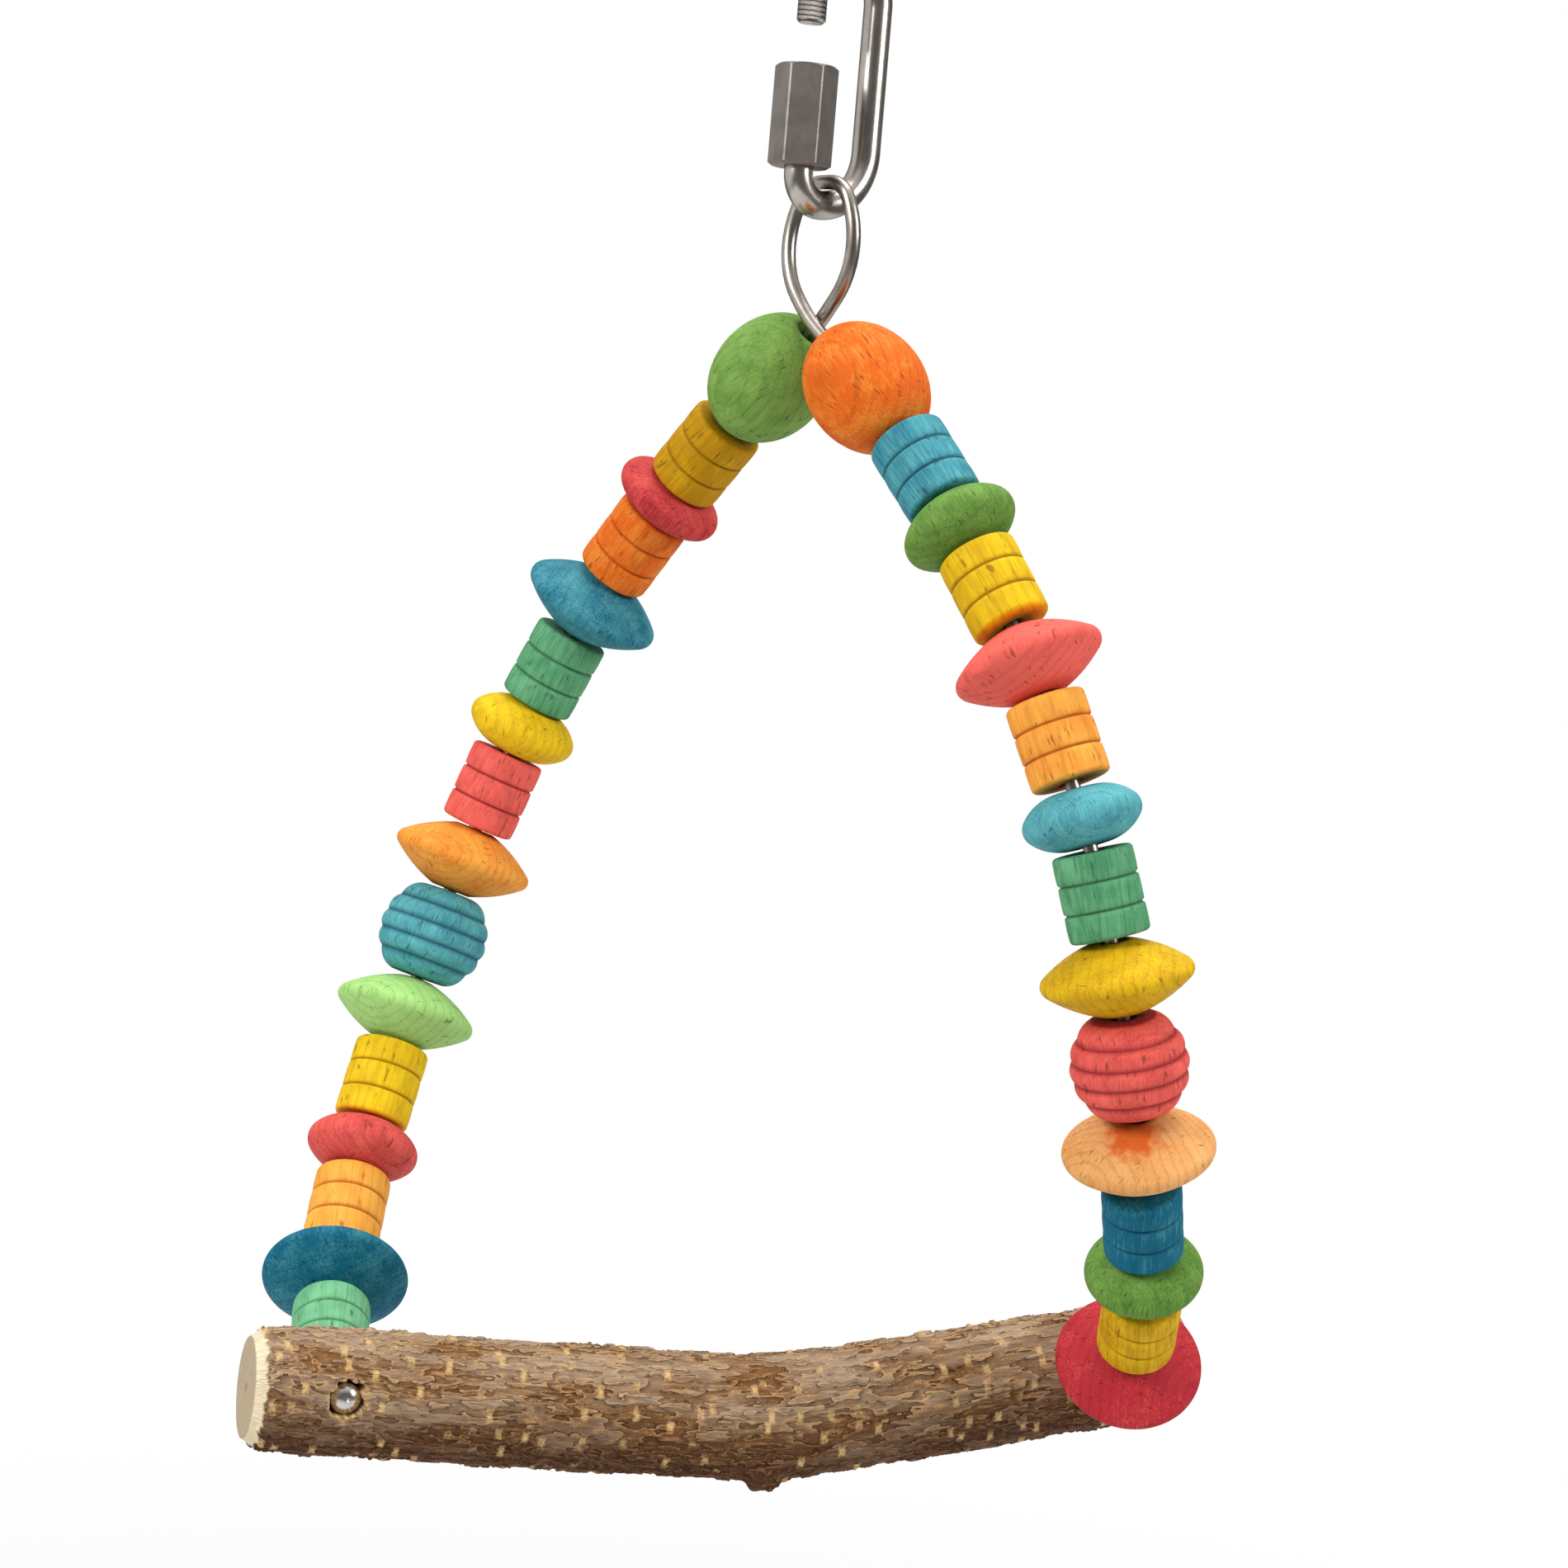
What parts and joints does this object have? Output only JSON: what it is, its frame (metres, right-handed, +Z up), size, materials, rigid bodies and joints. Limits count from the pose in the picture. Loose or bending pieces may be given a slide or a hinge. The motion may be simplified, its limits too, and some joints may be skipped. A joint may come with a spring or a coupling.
{
  "type": "bird swing",
  "caption": "Hanging bird swing: natural branch perch held by a bowed wire hanger strung with loose dyed wooden beads, on a quick link.",
  "frame": {"origin": "where a hook bears inside the top bend of the quick link", "axes": "+X along the perch to the right as pictured, +Y away from the viewer, +Z up along the plumb line"},
  "size_m": [0.2007, 0.157, 0.3191],
  "materials": {
    "link_steel": "polished stainless rod",
    "nut_steel": "turned stainless sleeve nut",
    "wire_steel": "drawn stainless wire",
    "cap_steel": "bright domed cap",
    "bark": "flaky natural bark with pale lenticels, pale cut ends",
    "dyed_amber": "dyed turned wood, matt, grain showing through",
    "dyed_blue": "dyed turned wood, matt, grain showing through",
    "dyed_green": "dyed turned wood, matt, grain showing through",
    "dyed_lime": "dyed turned wood, matt, grain showing through",
    "dyed_mint": "dyed turned wood, matt, grain showing through",
    "dyed_orange": "dyed turned wood, matt, grain showing through",
    "dyed_red": "dyed turned wood, matt, grain showing through",
    "dyed_yellow": "dyed turned wood, matt, grain showing through"
  },
  "bodies": {
    "link": {"quick_link": "link_steel"},
    "swing": {"hanger_wire": "wire_steel", "perch": "bark", "left_cap": "cap_steel", "right_cap": "cap_steel"},
    "nut": {"link_nut": "nut_steel"},
    "bead_left_01_barrel": {"left_01_barrel": "dyed_mint"},
    "bead_left_02_saucer": {"left_02_saucer": "dyed_blue"},
    "bead_left_03_barrel": {"left_03_barrel": "dyed_orange"},
    "bead_left_04_rondelle": {"left_04_rondelle": "dyed_red"},
    "bead_left_05_barrel": {"left_05_barrel": "dyed_yellow"},
    "bead_left_06_saucer": {"left_06_saucer": "dyed_lime"},
    "bead_left_07_ball": {"left_07_ball": "dyed_blue"},
    "bead_left_08_saucer": {"left_08_saucer": "dyed_orange"},
    "bead_left_09_barrel": {"left_09_barrel": "dyed_red"},
    "bead_left_10_rondelle": {"left_10_rondelle": "dyed_yellow"},
    "bead_left_11_barrel": {"left_11_barrel": "dyed_mint"},
    "bead_left_12_saucer": {"left_12_saucer": "dyed_blue"},
    "bead_left_13_barrel": {"left_13_barrel": "dyed_orange"},
    "bead_left_14_thin_rondelle": {"left_14_thin_rondelle": "dyed_red"},
    "bead_left_15_barrel": {"left_15_barrel": "dyed_yellow"},
    "bead_left_16_egg": {"left_16_egg": "dyed_green"},
    "bead_right_01_saucer": {"right_01_saucer": "dyed_red"},
    "bead_right_02_barrel": {"right_02_barrel": "dyed_yellow"},
    "bead_right_03_rondelle": {"right_03_rondelle": "dyed_green"},
    "bead_right_04_barrel": {"right_04_barrel": "dyed_blue"},
    "bead_right_05_saucer": {"right_05_saucer": "dyed_amber"},
    "bead_right_06_ball": {"right_06_ball": "dyed_red"},
    "bead_right_07_saucer": {"right_07_saucer": "dyed_yellow"},
    "bead_right_08_barrel": {"right_08_barrel": "dyed_mint"},
    "bead_right_09_rondelle": {"right_09_rondelle": "dyed_blue"},
    "bead_right_10_barrel": {"right_10_barrel": "dyed_orange"},
    "bead_right_11_saucer": {"right_11_saucer": "dyed_red"},
    "bead_right_12_barrel": {"right_12_barrel": "dyed_yellow"},
    "bead_right_13_rondelle": {"right_13_rondelle": "dyed_green"},
    "bead_right_14_barrel": {"right_14_barrel": "dyed_blue"},
    "bead_right_15_egg": {"right_15_egg": "dyed_orange"}
  },
  "joints": [
    {"name": "swing_on_link", "type": "hinge", "parent": "link", "child": "swing", "pos_m": [-0.00116, -0.00059, -0.04825], "axis": [0.891, 0.454, 0], "range_deg": [-35, 35]},
    {"name": "nut_travel", "type": "slide", "parent": "link", "child": "nut", "axis": [0, 0, 1], "range_m": [0, 0.0141]},
    {"name": "spin_left_01_barrel", "type": "hinge", "parent": "swing", "child": "bead_left_01_barrel", "pos_m": [-0.08202, 0.01467, -0.28819], "axis": [0.1417, 0.8049, 0.5762], "continuous": true},
    {"name": "spin_left_02_saucer", "type": "hinge", "parent": "swing", "child": "bead_left_02_saucer", "pos_m": [-0.07957, 0.02757, -0.27839], "axis": [0.1639, 0.7538, 0.6363], "continuous": true},
    {"name": "spin_left_03_barrel", "type": "hinge", "parent": "swing", "child": "bead_left_03_barrel", "pos_m": [-0.07626, 0.03892, -0.26627], "axis": [0.2235, 0.5833, 0.7809], "continuous": true},
    {"name": "spin_left_04_rondelle", "type": "hinge", "parent": "swing", "child": "bead_left_04_rondelle", "pos_m": [-0.0725, 0.0467, -0.25354], "axis": [0.2635, 0.4203, 0.8683], "continuous": true},
    {"name": "spin_left_05_barrel", "type": "hinge", "parent": "swing", "child": "bead_left_05_barrel", "pos_m": [-0.06846, 0.05233, -0.24029], "axis": [0.2756, 0.3326, 0.9019], "continuous": true},
    {"name": "spin_left_06_saucer", "type": "hinge", "parent": "swing", "child": "bead_left_06_saucer", "pos_m": [-0.06376, 0.05676, -0.22495], "axis": [0.2877, 0.1926, 0.9382], "continuous": true},
    {"name": "spin_left_07_ball", "type": "hinge", "parent": "swing", "child": "bead_left_07_ball", "pos_m": [-0.05854, 0.05886, -0.20796], "axis": [0.2934, 0.0632, 0.9539], "continuous": true},
    {"name": "spin_left_08_saucer", "type": "hinge", "parent": "swing", "child": "bead_left_08_saucer", "pos_m": [-0.05331, 0.05947, -0.19121], "axis": [0.3062, -0.0025, 0.952], "continuous": true},
    {"name": "spin_left_09_barrel", "type": "hinge", "parent": "swing", "child": "bead_left_09_barrel", "pos_m": [-0.04807, 0.05863, -0.17561], "axis": [0.328, -0.0957, 0.9398], "continuous": true},
    {"name": "spin_left_10_rondelle", "type": "hinge", "parent": "swing", "child": "bead_left_10_rondelle", "pos_m": [-0.04305, 0.05663, -0.16168], "axis": [0.3452, -0.1795, 0.9212], "continuous": true},
    {"name": "spin_left_11_barrel", "type": "hinge", "parent": "swing", "child": "bead_left_11_barrel", "pos_m": [-0.03781, 0.05339, -0.14813], "axis": [0.359, -0.2528, 0.8984], "continuous": true},
    {"name": "spin_left_12_saucer", "type": "hinge", "parent": "swing", "child": "bead_left_12_saucer", "pos_m": [-0.03168, 0.04824, -0.13359], "axis": [0.3782, -0.3723, 0.8476], "continuous": true},
    {"name": "spin_left_13_barrel", "type": "hinge", "parent": "swing", "child": "bead_left_13_barrel", "pos_m": [-0.02528, 0.04105, -0.12006], "axis": [0.391, -0.4869, 0.781], "continuous": true},
    {"name": "spin_left_14_thin_rondelle", "type": "hinge", "parent": "swing", "child": "bead_left_14_thin_rondelle", "pos_m": [-0.02, 0.03417, -0.1098], "axis": [0.3943, -0.5323, 0.7491], "continuous": true},
    {"name": "spin_left_15_barrel", "type": "hinge", "parent": "swing", "child": "bead_left_15_barrel", "pos_m": [-0.01478, 0.02683, -0.09993], "axis": [0.3855, -0.5689, 0.7265], "continuous": true},
    {"name": "spin_left_16_egg", "type": "hinge", "parent": "swing", "child": "bead_left_16_egg", "pos_m": [-0.006, 0.01204, -0.0836], "axis": [0.3597, -0.6573, 0.6622], "continuous": true},
    {"name": "spin_right_01_saucer", "type": "hinge", "parent": "swing", "child": "bead_right_01_saucer", "pos_m": [0.07752, -0.02625, -0.28066], "axis": [-0.1708, -0.7529, 0.6356], "continuous": true},
    {"name": "spin_right_02_barrel", "type": "hinge", "parent": "swing", "child": "bead_right_02_barrel", "pos_m": [0.07437, -0.0381, -0.26957], "axis": [-0.2161, -0.6704, 0.7098], "continuous": true},
    {"name": "spin_right_03_rondelle", "type": "hinge", "parent": "swing", "child": "bead_right_03_rondelle", "pos_m": [0.07064, -0.04744, -0.25814], "axis": [-0.2777, -0.5421, 0.7931], "continuous": true},
    {"name": "spin_right_04_barrel", "type": "hinge", "parent": "swing", "child": "bead_right_04_barrel", "pos_m": [0.06638, -0.05497, -0.24616], "axis": [-0.2916, -0.4832, 0.8255], "continuous": true},
    {"name": "spin_right_05_saucer", "type": "hinge", "parent": "swing", "child": "bead_right_05_saucer", "pos_m": [0.06153, -0.0619, -0.23171], "axis": [-0.285, -0.3247, 0.9018], "continuous": true},
    {"name": "spin_right_06_ball", "type": "hinge", "parent": "swing", "child": "bead_right_06_ball", "pos_m": [0.05654, -0.06582, -0.21479], "axis": [-0.2657, -0.1229, 0.9562], "continuous": true},
    {"name": "spin_right_07_saucer", "type": "hinge", "parent": "swing", "child": "bead_right_07_saucer", "pos_m": [0.05192, -0.06702, -0.19776], "axis": [-0.2618, -0.0184, 0.965], "continuous": true},
    {"name": "spin_right_08_barrel", "type": "hinge", "parent": "swing", "child": "bead_right_08_barrel", "pos_m": [0.04739, -0.06634, -0.18186], "axis": [-0.2841, 0.0968, 0.9539], "continuous": true},
    {"name": "spin_right_09_rondelle", "type": "hinge", "parent": "swing", "child": "bead_right_09_rondelle", "pos_m": [0.04294, -0.06412, -0.16747], "axis": [-0.3015, 0.2045, 0.9313], "continuous": true},
    {"name": "spin_right_10_barrel", "type": "hinge", "parent": "swing", "child": "bead_right_10_barrel", "pos_m": [0.03807, -0.06009, -0.15306], "axis": [-0.316, 0.293, 0.9024], "continuous": true},
    {"name": "spin_right_11_saucer", "type": "hinge", "parent": "swing", "child": "bead_right_11_saucer", "pos_m": [0.03267, -0.0546, -0.13849], "axis": [-0.3418, 0.3797, 0.8597], "continuous": true},
    {"name": "spin_right_12_barrel", "type": "hinge", "parent": "swing", "child": "bead_right_12_barrel", "pos_m": [0.02668, -0.0474, -0.12451], "axis": [-0.3673, 0.4717, 0.8016], "continuous": true},
    {"name": "spin_right_13_rondelle", "type": "hinge", "parent": "swing", "child": "bead_right_13_rondelle", "pos_m": [0.02107, -0.03985, -0.11288], "axis": [-0.3832, 0.5361, 0.7522], "continuous": true},
    {"name": "spin_right_14_barrel", "type": "hinge", "parent": "swing", "child": "bead_right_14_barrel", "pos_m": [0.01545, -0.03192, -0.10197], "axis": [-0.385, 0.5531, 0.7388], "continuous": true},
    {"name": "spin_right_15_egg", "type": "hinge", "parent": "swing", "child": "bead_right_15_egg", "pos_m": [0.00619, -0.01716, -0.08572], "axis": [-0.3897, 0.671, 0.6308], "continuous": true}
  ]
}
